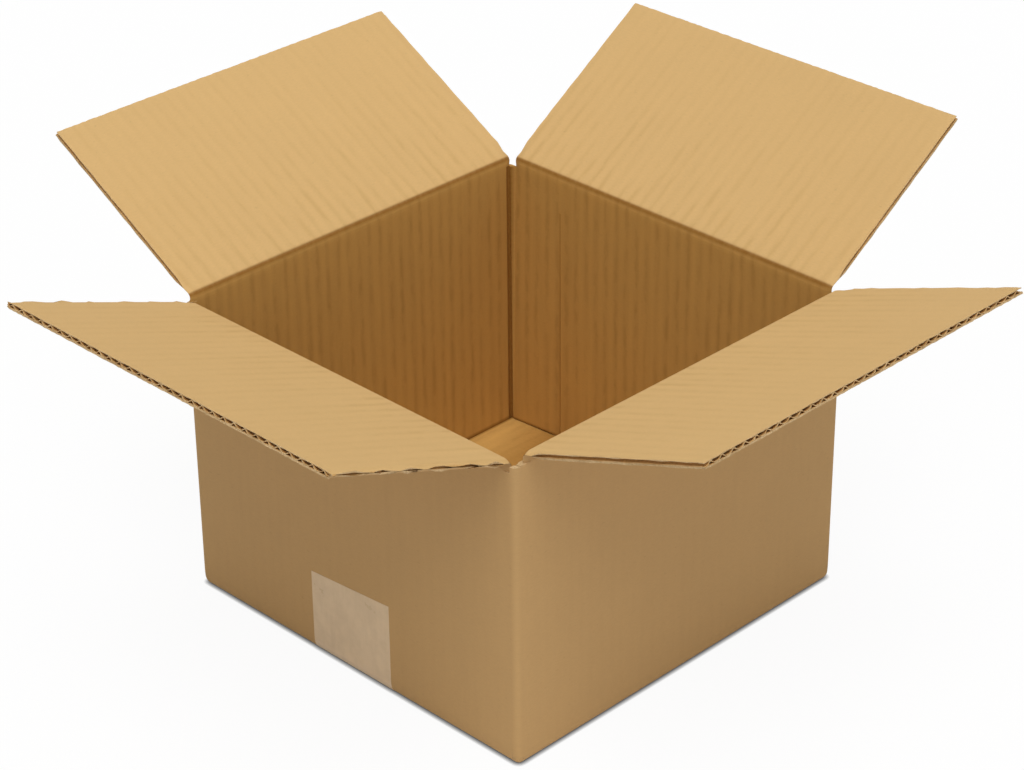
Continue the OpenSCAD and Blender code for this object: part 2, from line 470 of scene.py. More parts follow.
carton = {
    "cornerFoot": 0.2 * mm,
    "cornerTop": 145.8 * mm,
    "outerFold": 3.6 * mm,  # height at which the outer bottom flaps start to turn in
    "innerFold": 6.9 * mm,
    "outerRim": hinges["back_flap"][2] - bentStrip,  # the flap pieces go on from here
    "innerRim": hinges["left_flap"][2] - bentStrip,
    "tabX": 98.6 * mm,
    "tabFree": 68 * mm,
    "tabSlant": 6.5 * mm,
    "tabLine": 1.4 * mm,  # width of the painted shade line along its free edge
    "rawEdge": 102.5 * mm,
    "meetGap": 0.5 * mm,  # half of the gap where two bottom flaps meet
    "foldSteps": 6,
    "bottomSide": 96.6 * mm,  # side edges of the outer bottom flaps
    "lipStart": 97.4 * mm,  # outside these the end walls' folds sag to the ground
    "lipFoot": 0.2 * mm,
    "footRows": [5.3 * mm, 2.9 * mm, 2 * mm, 1.25 * mm, 0.65 * mm],  # the corners turn under at the foot
    "footShare": 0.08,  # what is left of a corner at its lowest
    "innerSide": 99.2 * mm,  # side edges of the inner bottom flaps
    "creaseTop": 8.4 * mm,
    "scoreStart": 1.25 * mm,  # the board is crushed from here to a corner fold
    "scoreWall": 0.45 * mm,
    "scoreDepth": 0.65 * mm,  # how far its inner face sinks there
    "tabPress": (2.5 * mm, 2.92 * mm),  # the glued tab thins to its free edge and to its top
    "tabLining": 0.7 * mm,  # its cut edges are lined up to here, past the corner's flat
    "edgeLip": 0.42 * mm,  # liner that shows at the raw edge, and the depth of the flute behind it
    "edgeDepth": 1.5 * mm,
    # share of the crease colour: painted shade in the corner scores, the floor folds and along the tab's
    # edge, and a plain darkening along the folds
    "scoreShade": 0.95,
    "floorFoldShade": 0.9,
    "tabEdgeShade": 0.6,
    "foldDark": 0.25,
}
carton["tabFoldX"] = carton["tabX"] - corner["radius"]


def rollWalls(spec):
    flat, steps = corner["flat"], spec["foldSteps"]
    low, high = spec["cornerFoot"], spec["outerRim"]
    centre = (spec["tabX"], (spec["tabFree"] + flat) / 2, (low + high) / 2)
    body = addSheet("carton", centre, (high - low, flat - spec["tabFree"]), (0, quarter, 0))
    openEdit(body)
    pickVerts(body, lambda vert: vert.co.y > flat - tiny)
    roll((spec["tabFoldX"], flat, 0), (0, 0, 1), quarter, steps)
    pull(-flat - spec["tabFoldX"], 0, 0)
    roll((-flat, flat, 0), (0, 0, 1), quarter, steps)
    pull(0, -2 * flat, 0)
    roll((-flat, -flat, 0), (0, 0, 1), quarter, steps)
    pull(2 * flat, 0, 0)
    roll((flat, -flat, 0), (0, 0, 1), quarter, steps)
    pull(0, 2 * flat, 0)
    pull(0, spec["rawEdge"] - flat, 0)
    return body


def cutRows(spec):  # edges along which the sheet is folded, slotted and crushed
    flat = corner["flat"]
    heights = [spec[key] for key in ("outerFold", "innerFold", "creaseTop", "innerRim", "cornerTop")]
    for height in spec["footRows"] + heights:
        cutAt((0, 0, height), (0, 0, 1))
    for beside in (spec["scoreStart"], spec["scoreStart"] - spec["scoreWall"]):
        for side in (-1, 1):
            cutAt((side * (flat - beside), 0, 0), (1, 0, 0))
            cutAt((0, side * (flat - beside), 0), (0, 1, 0))
        cutAt((spec["tabFoldX"] - beside, 0, 0), (1, 0, 0))


def cutSlots(body, spec):
    flat, mid = corner["flat"], corner["mid"]

    def inSlot(face):
        x, y, z = face.calc_center_median()
        if abs(x) > mid - tiny:
            return z < spec["innerFold"] or z > spec["innerRim"]
        if abs(y) > mid - tiny and abs(x) < flat:
            return z < spec["outerFold"]
        if abs(x - spec["tabX"]) < tiny:
            return z < spec["innerFold"] or z > spec["cornerTop"]
        return z > spec["cornerTop"]

    pickFaces(body, inSlot)
    bpy.ops.mesh.delete(type="FACE")
    pickVerts(body, lambda vert: vert.co.y < spec["tabFree"] + tiny and vert.co.z > spec["innerRim"] - tiny
              and abs(vert.co.x - spec["tabX"]) < tiny)
    move(0, 0, -spec["tabSlant"])
    cutAt((0, spec["tabFree"] + spec["tabLine"], 0), (0, 1, 0))


def foldBottom(body, spec):
    flat, mid, steps = corner["flat"], corner["mid"], spec["foldSteps"]
    outerFold, innerFold = spec["outerFold"], spec["innerFold"]
    outerLevel, innerLevel = outerFold - corner["radius"], innerFold - corner["radius"]
    reach = flat - spec["meetGap"]
    for side in (-1, 1):
        pickVerts(body, lambda vert: abs(vert.co.y - side * mid) < tiny and abs(vert.co.z - outerFold) < tiny
                  and abs(vert.co.x) < flat + tiny)
        roll((0, side * flat, outerFold), (1, 0, 0), -side * quarter, steps)
        pull(0, -side * reach, 0)
    for side in (-1, 1):
        pickVerts(body, lambda vert: vert.co.z < outerLevel + tiny and abs(vert.co.y) < flat + tiny
                  and spec["tabFoldX"] - tiny < vert.co.x * side < flat + tiny)
        scaleFrom((side * spec["bottomSide"], 0, 0), 0, 1, 1)
    for side in (-1, 1):
        pickVerts(body, lambda vert: abs(vert.co.x - side * mid) < tiny and abs(vert.co.z - innerFold) < tiny
                  and vert.co.y < flat + tiny)
        roll((side * flat, 0, innerFold), (0, 1, 0), side * quarter, steps)
        pull(-side * reach, 0, 0)
    for side in (-1, 1):
        cutAt((side * spec["lipStart"], 0, 0), (1, 0, 0))
        pickVerts(body, lambda vert: abs(vert.co.z - innerLevel) < tiny and vert.co.y * side > flat - tiny
                  and abs(vert.co.x) < spec["lipStart"] + tiny)
        scaleFrom((0, side * spec["innerSide"], 0), 1, 0, 1)


def faceOutwards(body):
    bpy.ops.mesh.select_all(action="SELECT")
    bpy.ops.mesh.remove_doubles(threshold=tiny / 10)
    bpy.ops.mesh.normals_make_consistent(inside=False)
    leftWall = [face for face in bmesh.from_edit_mesh(body.data).faces
                if face.calc_center_median().x < tiny - corner["mid"]]
    if leftWall[0].normal.x > 0:
        bpy.ops.mesh.flip_normals()


def bottomOf(spec, middle):  # which bottom flap a face of the sheet is in, and the height of its fold
    x, y, z = middle
    flat = corner["flat"]
    if z < spec["outerFold"] - tiny and abs(x) < flat:
        return ("back" if y > 0 else "front"), spec["outerFold"], abs(y) > flat
    if spec["outerFold"] < z < spec["innerFold"] - tiny and abs(y) < flat:
        return ("right" if x > 0 else "left"), spec["innerFold"], abs(x) > flat
    return None


def sheetPoint(spec, middle, co):
    flat, radius = corner["flat"], corner["radius"]
    x, y, z = co
    found = bottomOf(spec, middle)
    if found:
        side, fold, onFold = found
        inward = abs(y) if side in ("back", "front") else abs(x)
        angle = math.atan2(fold - z, inward - flat) if onFold else quarter
        return acrossOf(side, x, y), fold - radius * angle - (0 if onFold else flat - inward)
    if abs(middle[0] - spec["tabX"]) < tiny:
        return spec["tabFoldX"] + quarter * radius + flat - y, z
    if middle[0] > spec["tabFoldX"] and middle[1] > flat and middle[0] < corner["mid"] - tiny:
        angle = math.atan2(x - spec["tabFoldX"], y - flat)
        return spec["tabFoldX"] + radius * angle, z
    if abs(middle[0]) > flat and abs(middle[1]) > flat and middle[0] < corner["mid"] - tiny:
        around = cornerAngle(x, y)
        if middle[0] < 0 < middle[1]:
            return wallStart["back"] - flat - radius * (quarter - around), z
        if middle[0] < 0:
            return wallStart["left"] - flat - radius * around, z
        return wallStart["front"] - flat - radius * (quarter - around), z
    if abs(middle[1]) > corner["mid"] - tiny:
        return acrossOf("back" if y > 0 else "front", x, y), z
    return acrossOf("right" if x > 0 else "left", x, y), z


def layOutSheet(body, spec):
    layer = body.data.uv_layers.new(name="sheet")
    for face in body.data.polygons:
        for loop in face.loop_indices:
            co = body.data.vertices[body.data.loops[loop].vertex_index].co
            layer.data[loop].uv = sheetPoint(spec, face.center, co)


cartonFaces = {"outside": 0, "inside": 1, "cut": 2, "flutes": 3}  # material slots, in makeCarton's order


def vertsOf(body, part):
    mesh = bmesh.from_edit_mesh(body.data)
    faces = [face for face in mesh.faces if face.material_index == cartonFaces[part]]
    return {vert.index for face in faces for vert in face.verts}


def paintFaces(body, part):
    body.active_material_index = cartonFaces[part]
    bpy.ops.object.material_slot_assign()


def pressScores(body, spec):  # the corner scores crush the board from the inside
    inside, depth = vertsOf(body, "inside"), spec["scoreDepth"]
    crushed = spec["scoreStart"] - spec["scoreWall"] + tiny
    score, tabScore = corner["flat"] - crushed, spec["tabFoldX"] - crushed
    scored = set()
    for sideX, sideY in ((-1, 1), (-1, -1), (1, -1)):
        pickVerts(body, lambda vert: vert.index in inside and vert.co.x * sideX > score
                  and vert.co.y * sideY > score)
        scored |= pickedVerts(body)
        move(sideX * depth, sideY * depth, 0)
    pickVerts(body, lambda vert: vert.index in inside and tabScore < vert.co.x < spec["tabX"]
              and vert.co.y > score)
    scored |= pickedVerts(body)
    move(depth, depth, 0)
    return scored


def pressTab(body, spec):  # the glued tab is pressed thin
    inside, free = vertsOf(body, "inside"), spec["tabFree"]
    highTab = spec["innerRim"] - spec["tabSlant"] - tiny
    tabSide = corner["flat"] - spec["scoreStart"] + tiny

    def inTab(vert):
        return (vert.index in inside and spec["tabFoldX"] < vert.co.x < spec["tabX"]
                and free - tiny < vert.co.y < tabSide)

    def onEdge(face):
        x, y = face.calc_center_median().xy
        return (face.material_index == cartonFaces["cut"] and y > free - tiny
                and spec["tabFoldX"] - spec["scoreStart"] < x < corner["flat"] + spec["tabLining"])

    pickVerts(body, lambda vert: inTab(vert) and vert.co.y < free + tiny)
    edged = pickedVerts(body)
    pickVerts(body, lambda vert: inTab(vert) and vert.co.z < highTab
              and vert.co.y < free + spec["tabLine"] + tiny)
    move(spec["tabPress"][0], 0, 0)
    pickVerts(body, lambda vert: inTab(vert) and vert.co.z > highTab)
    move(spec["tabPress"][1], 0, 0)
    pickFaces(body, onEdge)
    paintFaces(body, "inside")
    return edged


def floorFolds(body, spec, inside):  # the inner face's points round the floor
    def onFloor(vert):
        return (spec["outerFold"] + tiny < vert.co.z < spec["innerFold"] - tiny
                and max(abs(vert.co.x), abs(vert.co.y)) < corner["flat"] - tiny)

    return {vert.index for vert in bmesh.from_edit_mesh(body.data).verts if vert.index in inside
            and vert.co.z < spec["innerFold"] + tiny and not onFloor(vert)}


def squarer(share, squareness):  # how much further out a squared fold stands than a round one
    return share ** (squareness - 1) if share > corner["leastShare"] else 1.0


def squareCorners(body, spec):
    flat, outer, slack, outside = corner["flat"], corner["outer"], corner["slack"], vertsOf(body, "outside")
    centres = [(-flat, flat), (-flat, -flat), (flat, -flat), (spec["tabFoldX"], flat)]
    for centreX, centreY in centres:
        for i in range(1, spec["foldSteps"]):
            angle = quarter * i / spec["foldSteps"]
            x = centreX + math.copysign(outer * math.cos(angle), centreX)
            y = centreY + math.copysign(outer * math.sin(angle), centreY)
            pickVerts(body, lambda vert: vert.index in outside and abs(vert.co.x - x) < slack
                      and abs(vert.co.y - y) < slack)
            further = [squarer(share, corner["squareness"]) for share in (math.cos(angle), math.sin(angle))]
            scaleFrom((centreX, centreY, 0), *further, 1)


def footShare(spec, fold, foot, height):  # what a fold leaves of its reach at a height
    rise = max(0.0, fold - height) / (fold - foot)
    return max(spec["footShare"], math.sqrt(max(0.0, 1 - rise * rise)) ** corner["footSquareness"])


def sagFolds(body, spec):  # the end walls' folds sag to the ground
    flat, outer, slack, outside = corner["flat"], corner["outer"], corner["slack"], vertsOf(body, "outside")
    endFold, longFold = spec["innerFold"], spec["outerFold"]
    sag = (endFold - spec["lipFoot"]) / outer

    def onRow(vert, out, along, reach, height):
        return (vert.index in outside and abs(along) < flat + tiny and abs(out - reach) < slack
                and abs(vert.co.z - height) < slack)

    for i in range(1, spec["foldSteps"] + 1):
        angle = quarter * i / spec["foldSteps"]
        reach, drop = flat + outer * math.cos(angle), outer * math.sin(angle)
        further = squarer(math.cos(angle), corner["footSquareness"])
        for side in (-1, 1):
            pickVerts(body, lambda vert: onRow(vert, vert.co.x * side, vert.co.y, reach, endFold - drop))
            scaleFrom((side * flat, 0, endFold), further, 1, sag)
            pickVerts(body, lambda vert: onRow(vert, vert.co.y * side, vert.co.x, reach, longFold - drop))
            scaleFrom((0, side * flat, 0), 1, further, 1)


def turnCornersUnder(body, spec):
    flat, endFold, longFold = corner["flat"], spec["innerFold"], spec["outerFold"]
    for height in (spec["cornerFoot"], longFold, *spec["footRows"]):
        shares = (footShare(spec, endFold, spec["lipFoot"], height),
                  footShare(spec, longFold, longFold - corner["outer"], height))
        for sideX, sideY in ((-1, 1), (-1, -1), (1, -1), (1, 1)):
            centreX = spec["tabFoldX"] if sideX + sideY == 2 else sideX * flat
            pickVerts(body, lambda vert: abs(vert.co.z - height) < tiny and vert.co.y * sideY > flat - tiny
                      and vert.co.x * sideX > centreX * sideX - tiny)
            scaleFrom((centreX, sideY * flat, 0), *shares, 1)


def openRawEdge(body, spec):  # the wall's last flute shows at its cut
    pickFaces(body, lambda face: face.material_index == cartonFaces["cut"]
              and face.calc_center_median().y > spec["rawEdge"] - tiny)
    bpy.ops.mesh.inset(thickness=spec["edgeLip"], depth=0, use_even_offset=True, use_boundary=True)
    paintFaces(body, "flutes")
    pull(0, -spec["edgeDepth"], 0)


def markShadeAndWear(body, spec, scored, creased, edged):
    flat = corner["flat"]
    shadeAndWearMark, pressed, insidePaintedShade = addMarks(body, "creaseShadeAndWear", "fluteShow", "insidePaintedShade")
    for vert in body.data.vertices:
        x, y, z = (abs(value) for value in vert.co)
        low = z < spec["innerFold"] - tiny and (x > flat + tiny or y > flat + tiny)
        # a plain darkening along the bottom folds and corners, then painted shade in the scores, the floor
        # folds and at the tab's edge
        shadedAndWorn = spec["foldDark"] if low or (x > flat and y > flat) else 0.0
        for verts, amount in ((creased, "floorFoldShade"), (scored, "scoreShade"), (edged, "tabEdgeShade")):
            if vert.index in verts:
                shadedAndWorn = spec[amount]
        shadeAndWearMark.data[vert.index].value = shadedAndWorn
        # the whole body takes the inside walls' painted shade colour
        pressed.data[vert.index].value = insidePaintedShade.data[vert.index].value = 1.0


def makeCarton(spec):
    body = rollWalls(spec)
    cutRows(spec)
    cutSlots(body, spec)
    foldBottom(body, spec)
    faceOutwards(body)
    closeEdit()
    layOutSheet(body, spec)
    for material in (outerLiner, innerLiner, cutEdge, flutedPaper):
        body.data.materials.append(material)
    applyModifier(body, "SOLIDIFY", thickness=board, offset=0, use_even_offset=True,
                  material_offset=cartonFaces["inside"], material_offset_rim=cartonFaces["cut"])
    openEdit(body)
    inside = vertsOf(body, "inside")
    scored = pressScores(body, spec)
    edged = pressTab(body, spec)
    creased = floorFolds(body, spec, inside)
    squareCorners(body, spec)
    sagFolds(body, spec)
    turnCornersUnder(body, spec)
    openRawEdge(body, spec)
    closeEdit()
    markShadeAndWear(body, spec, scored, creased, edged)
    return body


cartonBody = makeCarton(carton)
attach(cartonBody, "carton")
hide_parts("carton_body")
say("walls and bottom folded")


# The top flaps: two liners and the fluted paper between them, crushed at the crease and bent to their lean

flapBoard = {
    "innerLiner": 0.4 * mm,
    "outerLiner": 0.8 * mm,  # with the flutes' flattened crests that are glued to it
    "medium": 0.34 * mm,
    "glued": 0.03 * mm,  # how far the medium's crests sink into the liners
    "waveSharp": 2.6,
    "waveSteps": 12,
    "linerSteps": 4,
    "rowStep": 5 * mm,
    "bendRows": [-1.2 * mm, -0.6 * mm, 0.0, 0.6 * mm, 1.2 * mm],
    "creaseRows": [1.8 * mm, 2.4 * mm, 3.0 * mm, 3.8 * mm, 4.6 * mm],
    "insideCrush": (1.32 * mm, 2.9 * mm, 1.2 * mm),  # half thickness left, and its run on wall and flap
    "outsideCrush": (0.6 * mm, 2.9 * mm, 4.6 * mm),
    "edgeRows": [3.6 * mm, 2.4 * mm, 1.4 * mm, 0.6 * mm],  # the cut has pressed the edges thinner
    "edgeThin": 0.9,
    "edgeSteps": 6,  # of a flute's wave, pressed beside a slot
    "shutThin": 0.05,  # beside the crease the cut is pressed shut
    "shutReach": 9 * mm,
    "pinchSteps": 1.5,
    "pinchWave": 1.9,  # turn of the pinching from one row to the next
    "pinchLeast": 0.05,
    "edgeTear": 0.12 * mm,
    "blendReach": 1.1 * mm,
    "creaseShadeLine": (0.1 * mm, 0.95 * mm, 0.45 * mm),  # the crease's painted shade line: its middle, reach and soft edge
    "fluteShow": (0.13, 0.45),  # how far the flutes show at the tip and at the crease
    "fluteShowReach": 70 * mm,
}

flaps = {
    "back_flap": {
        "side": "back", "facing": 0, "from": -100.5 * mm, "to": 99 * mm, "crease": 149.1 * mm,
        "length": 101.9 * mm, "lean": 60.5, "slotTear": 0.12 * mm, "pinch": 0.0, "seed": 3,
    },
    "front_flap": {
        "side": "front", "facing": 180, "from": -100.5 * mm, "to": 97 * mm, "crease": 149.1 * mm,
        "length": 101.6 * mm, "lean": 70, "slotTear": 0.15 * mm, "pinch": 0.0, "seed": 5,
    },
    "left_flap": {
        "side": "left", "facing": 90, "from": -99.2 * mm, "to": 99.2 * mm, "crease": 146.3 * mm,
        "length": 102.2 * mm, "lean": 69.5, "slotTear": 0.4 * mm, "pinch": 0.95, "seed": 8,
    },
    "right_flap": {
        "side": "right", "facing": -90, "from": -99.2 * mm, "to": 97 * mm, "crease": 148.8 * mm,
        "length": 100.4 * mm, "lean": 57, "slotTear": 0.12 * mm, "pinch": 0.0, "seed": 12,
    },
}
for node, flap in flaps.items():
    flap["foot"] = hinges[node][2] - bentStrip  # the flap piece starts here, on the wall's rim


def creaseRows(flap, spec):  # rows of the crease, down to where the strip ends
    strip = flap["crease"] - flap["foot"]
    below = [-row for row in spec["creaseRows"] if row < strip - tiny]
    return sorted(spec["bendRows"] + spec["creaseRows"] + below)


def flapRows(flap, spec):
    rows = creaseRows(flap, spec) + [flap["length"] - back for back in spec["edgeRows"]]
    start, end = spec["creaseRows"][-1], flap["length"] - spec["edgeRows"][0]
    count = round((end - start) / spec["rowStep"])
    rows += [start + (end - start) * i / count for i in range(1, count)]
    return sorted(set(rows))


def flapSheet(name, flap, spec, depth, steps, normalIn):  # one flute's width of a sheet, cut in rows
    count = round((flap["to"] - flap["from"]) / flutePitch)
    pitch = (flap["to"] - flap["from"]) / count
    low, high = flap["foot"], flap["crease"] + flap["length"]
    centre = (flap["from"] + pitch / 2, corner["mid"] + depth, (low + high) / 2)
    sheet = addSheet(name, centre, (pitch, high - low), (quarter if normalIn else -quarter, 0, 0))
    openEdit(sheet)
    for i in range(1, steps):
        cutAt((flap["from"] + pitch * i / steps, 0, 0), (1, 0, 0))
    for row in flapRows(flap, spec):
        cutAt((0, 0, flap["crease"] + row), (0, 0, 1))
    return sheet, count, pitch


def repeatFlute(sheet, count, pitch):
    applyModifier(sheet, "ARRAY", count=count, use_relative_offset=False, use_constant_offset=True,
                  constant_offset_displace=(pitch, 0, 0), use_merge_vertices=True, merge_threshold=tiny / 2)


def makeLinerSheet(name, flap, spec, inside):
    thickness = spec["innerLiner" if inside else "outerLiner"]
    depth = (board - thickness) / 2
    sheet, count, pitch = flapSheet(name, flap, spec, -depth if inside else depth, spec["linerSteps"], inside)
    closeEdit()
    repeatFlute(sheet, count, pitch)
    for material in (innerLiner if inside else outerLiner, flutedPaper, cutEdge):
        sheet.data.materials.append(material)
    applyModifier(sheet, "SOLIDIFY", thickness=thickness, offset=0, material_offset=1, material_offset_rim=2)
    return sheet


def makeFlutes(name, flap, spec):
    middle = (spec["innerLiner"] - spec["outerLiner"]) / 2
    sheet, count, pitch = flapSheet(name, flap, spec, middle, spec["waveSteps"], True)
    room = board - spec["innerLiner"] - spec["outerLiner"] - spec["medium"]
    rise = room / 2 + spec["glued"]
    for i in range(spec["waveSteps"] + 1):
        across = flap["from"] + pitch * i / spec["waveSteps"]
        pickVerts(sheet, lambda vert: abs(vert.co.x - across) < tiny)
        crest = (0.5 - 0.5 * math.cos(2 * math.pi * i / spec["waveSteps"])) ** spec["waveSharp"]
        move(0, rise * (1 - 2 * crest), 0)
    closeEdit()
    repeatFlute(sheet, count, pitch)
    for material in (flutedPaper, cutEdge):
        sheet.data.materials.append(material)
    applyModifier(sheet, "SOLIDIFY", thickness=spec["medium"], offset=0, use_even_offset=True,
                  material_offset_rim=1)
    return sheet


def markRows(flap, piece, spec):
    rows, shadeAndWearMark, pressed, insidePaintedShade = addMarks(piece, "creaseRow", "creaseShadeAndWear", "fluteShow", "insidePaintedShade")
    middle, reach, soft = spec["creaseShadeLine"]
    atTip, atCrease = spec["fluteShow"]
    for vert in piece.data.vertices:
        row = vert.co.z - flap["crease"]
        faded = atTip + (atCrease - atTip) * max(0.0, 1 - row / spec["fluteShowReach"])
        rows.data[vert.index].value = row
        # the crease's painted shade line
        shadeAndWearMark.data[vert.index].value = max(0.0, min(1.0, (reach - abs(row - middle)) / soft))
        # below the crease the flap takes the inside walls' painted shade colour, to match the walls
        insidePaintedShade.data[vert.index].value = 1.0 if row < tiny else 0.0
        pressed.data[vert.index].value = 1.0 if row < 0 else faded
    layer = piece.data.uv_layers.new(name="sheet")
    for loop in piece.data.loops:
        co = piece.data.vertices[loop.vertex_index].co
        layer.data[loop.index].uv = (wallStart[flap["side"]] + co.x, co.z)


def halfThickness(crush, row):
    left, onWall, onFlap = crush
    run = onWall if row < 0 else onFlap
    return min(board / 2, left + (board / 2 - left) * abs(row) / run)


def crushCrease(flap, piece, spec):
    for row in creaseRows(flap, spec):
        inner, outer = (halfThickness(spec[key], row) for key in ("insideCrush", "outsideCrush"))
        scale = (inner + outer) / board
        if inner + outer > board - tiny:
            continue
        pickVerts(piece, lambda vert: abs(vert.co.z - flap["crease"] - row) < tiny)
        still = corner["mid"] + (board / 2 * scale - inner) / (1 - scale)
        scaleFrom((0, still, 0), 1, scale, 1)


def crushEdges(flap, piece, spec):
    still, step = (0, corner["mid"], 0), flutePitch / spec["waveSteps"]
    shut = flap["crease"] + spec["shutReach"]

    def thin(back, left=spec["edgeThin"]):
        share = min(1.0, back / spec["edgeRows"][0])
        return left + (1 - left) * math.sin(share * quarter)

    def fromSlot(vert):
        return min(vert.co.x - flap["from"], flap["to"] - vert.co.x)

    for back in spec["edgeRows"][1:] + [0.0]:
        height = flap["crease"] + flap["length"] - back
        pickVerts(piece, lambda vert: abs(vert.co.z - height) < tiny)
        scaleFrom(still, 1, thin(back), 1)
    for i in range(spec["edgeSteps"]):
        near = (i - 0.5) * step, (i + 0.5) * step
        pickVerts(piece, lambda vert: near[0] <= fromSlot(vert) < near[1] and vert.co.z > shut)
        scaleFrom(still, 1, thin(i * step), 1)
        pickVerts(piece, lambda vert: near[0] <= fromSlot(vert) < near[1] and vert.co.z <= shut)
        scaleFrom(still, 1, thin(i * step, spec["shutThin"]), 1)
    for row in flapRows(flap, spec):  # here and there the cut is pressed shut along the slot as well
        height = flap["crease"] + row
        wave = math.sin(flap["seed"] + spec["pinchWave"] * row / spec["rowStep"])
        press = flap["pinch"] * (0.5 + 0.5 * wave)
        if height > shut and press > spec["pinchLeast"]:
            pickVerts(piece, lambda vert: abs(vert.co.z - height) < tiny
                      and fromSlot(vert) < spec["pinchSteps"] * step)
            scaleFrom(still, 1, 1 - press, 1)


def bendAt(piece, row, angle, centre):
    rows = bmesh.from_edit_mesh(piece.data).verts.layers.float["creaseRow"]
    pickVerts(piece, lambda vert: vert[rows] > row + tiny)
    turn(-angle, "X", centre)


def bendFlap(flap, piece, spec):
    step = math.radians(flap["lean"]) / len(spec["bendRows"])
    last, angle = spec["bendRows"][0], 0.0
    y, z = corner["mid"], flap["crease"] + last
    for row in spec["bendRows"]:
        y += (row - last) * math.sin(angle)
        z += (row - last) * math.cos(angle)
        bendAt(piece, row, step, (0, y, z))
        angle += step
        last = row


def tearEdges(flap, piece, spec):
    rows = bmesh.from_edit_mesh(piece.data).verts.layers.float["creaseRow"]
    pickVerts(piece, lambda vert: vert[rows] > flap["length"] - tiny)
    bpy.ops.transform.vertex_random(offset=spec["edgeTear"], uniform=1, seed=flap["seed"])
    pickVerts(piece, lambda vert: vert[rows] > spec["creaseRows"][-1]
              and (vert.co.x < flap["from"] + spec["medium"] or vert.co.x > flap["to"] - spec["medium"]))
    bpy.ops.transform.vertex_random(offset=flap["slotTear"], uniform=1, seed=flap["seed"] + 1)


def makeFlap(name, flap, spec):
    piece = makeLinerSheet("inner", flap, spec, True)
    outer = makeLinerSheet("outer", flap, spec, False)
    flutes = makeFlutes("flutes", flap, spec)
    selectOnly(outer, flutes, piece)
    bpy.ops.object.join()
    piece.name = piece.data.name = name
    markRows(flap, piece, spec)
    openEdit(piece)
    crushEdges(flap, piece, spec)
    crushCrease(flap, piece, spec)
    bendFlap(flap, piece, spec)
    tearEdges(flap, piece, spec)
    closeEdit()
    piece.rotation_euler.z = math.radians(flap["facing"])
    bpy.ops.object.transform_apply(location=True, rotation=True, scale=True)
    return piece


def hingePoints(flap, spec):
    half = math.radians(flap["lean"]) / 2
    facing = Matrix.Rotation(math.radians(flap["facing"]), 3, "Z")
    middle = Vector((0, corner["mid"], flap["crease"]))
    along = Vector((0, math.sin(half), math.cos(half))) * spec["blendReach"]
    return facing @ (middle - along), facing @ (middle + along)


flapPieces = []
for node, flap in flaps.items():
    piece = makeFlap("top_" + node, flap, flapBoard)
    start, end = hingePoints(flap, flapBoard)
    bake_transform(piece, "carton", node, start=start, end=end)
    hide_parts(node)
    flapPieces.append(piece)
    say(piece.name + " creased and bent")


# The strip of clear tape over the bottom seam

tape = {
    "halfWidth": 25 * mm,
    "film": 0.1 * mm,
    "rise": 43 * mm,
    "slant": 1.9 * mm,  # the roll's cut isn't square
    # its pale colours are partly the film's haze and partly a painted sheen of the white surroundings
    "colour": (0.86, 0.63, 0.375, 1),
    "hazeAndSheen": (0.89, 0.66, 0.4, 1),
    "alpha": (0.75, 0.81),
    "roughness": (0.2, 0.45),
    "bubbles": {"scale": 110, "detail": 4, "roughness": 0.6},
    "streaks": {"scale": 420, "detail": 2, "stretch": (1, 1, 0.12)},
    "bubbleShare": 0.75,
    "hazeRange": (0.3, 0.7),
    "height": 0.02 * mm,
}


def makeTapeMaterial(look):
    material, tree, shader = newMaterial("clearTape")
    place = addNode(tree, "ShaderNodeTexCoord").outputs["Object"]
    bubbles, streaks = (noise(tree, place, **look[key]) for key in ("bubbles", "streaks"))
    share = weigh(tree, bubbles, streaks, look["bubbleShare"])
    hazeAndSheen = ramp(tree, share, *look["hazeRange"])
    # pale colour: partly the film's haze, partly a painted sheen
    tree.links.new(mixColour(tree, hazeAndSheen, look["colour"], look["hazeAndSheen"]), shader.inputs["Base Color"])
    tree.links.new(between(tree, hazeAndSheen, *look["alpha"]), shader.inputs["Alpha"])
    tree.links.new(between(tree, bubbles, *look["roughness"]), shader.inputs["Roughness"])
    tree.links.new(bump(tree, share, look["height"]), shader.inputs["Normal"])
    return material


def foldTape(strip, spec):  # under the end wall, along its sagged fold
    steps, outer = carton["foldSteps"], corner["outer"] + spec["film"] / 2
    foldX, foldZ = -corner["flat"], carton["innerFold"]
    sag = (foldZ - spec["film"] / 2) / outer
    pickVerts(strip, lambda vert: vert.co.z < foldZ + tiny)
    roll((foldX, 0, foldZ), (0, 1, 0), -quarter, steps)
    for i in range(1, steps + 1):
        angle = quarter * i / steps
        x, z = foldX - outer * math.cos(angle), foldZ - outer * math.sin(angle)
        pickVerts(strip, lambda vert: abs(vert.co.x - x) < tiny and abs(vert.co.z - z) < tiny)
        scaleFrom((foldX, 0, foldZ), squarer(math.cos(angle), corner["footSquareness"]), 1, sag)
    pickVerts(strip, lambda vert: vert.co.z < spec["film"])
    pull(-foldX, 0, 0)


def makeTape(spec):
    film, foot = spec["film"], carton["innerFold"]
    centre = (-corner["mid"] - (board + film) / 2, 0, (foot + spec["rise"]) / 2)
    strip = addSheet("bottom_tape", centre, (spec["rise"] - foot, 2 * spec["halfWidth"]), (0, -quarter, 0))
    openEdit(strip)
    for side in (-1, 1):
        pickVerts(strip, lambda vert: vert.co.z > spec["rise"] - tiny and vert.co.y * side > 0)
        move(0, 0, -side * spec["slant"])
    foldTape(strip, spec)
    bpy.ops.mesh.select_all(action="SELECT")
    bpy.ops.mesh.normals_make_consistent(inside=False)
    closeEdit()
    applyModifier(strip, "MIRROR", use_axis=(True, False, False), use_mirror_merge=True, merge_threshold=tiny)
    applyModifier(strip, "SOLIDIFY", thickness=film, offset=0, use_even_offset=True)
    strip.data.materials.append(makeTapeMaterial(spec))
    return strip


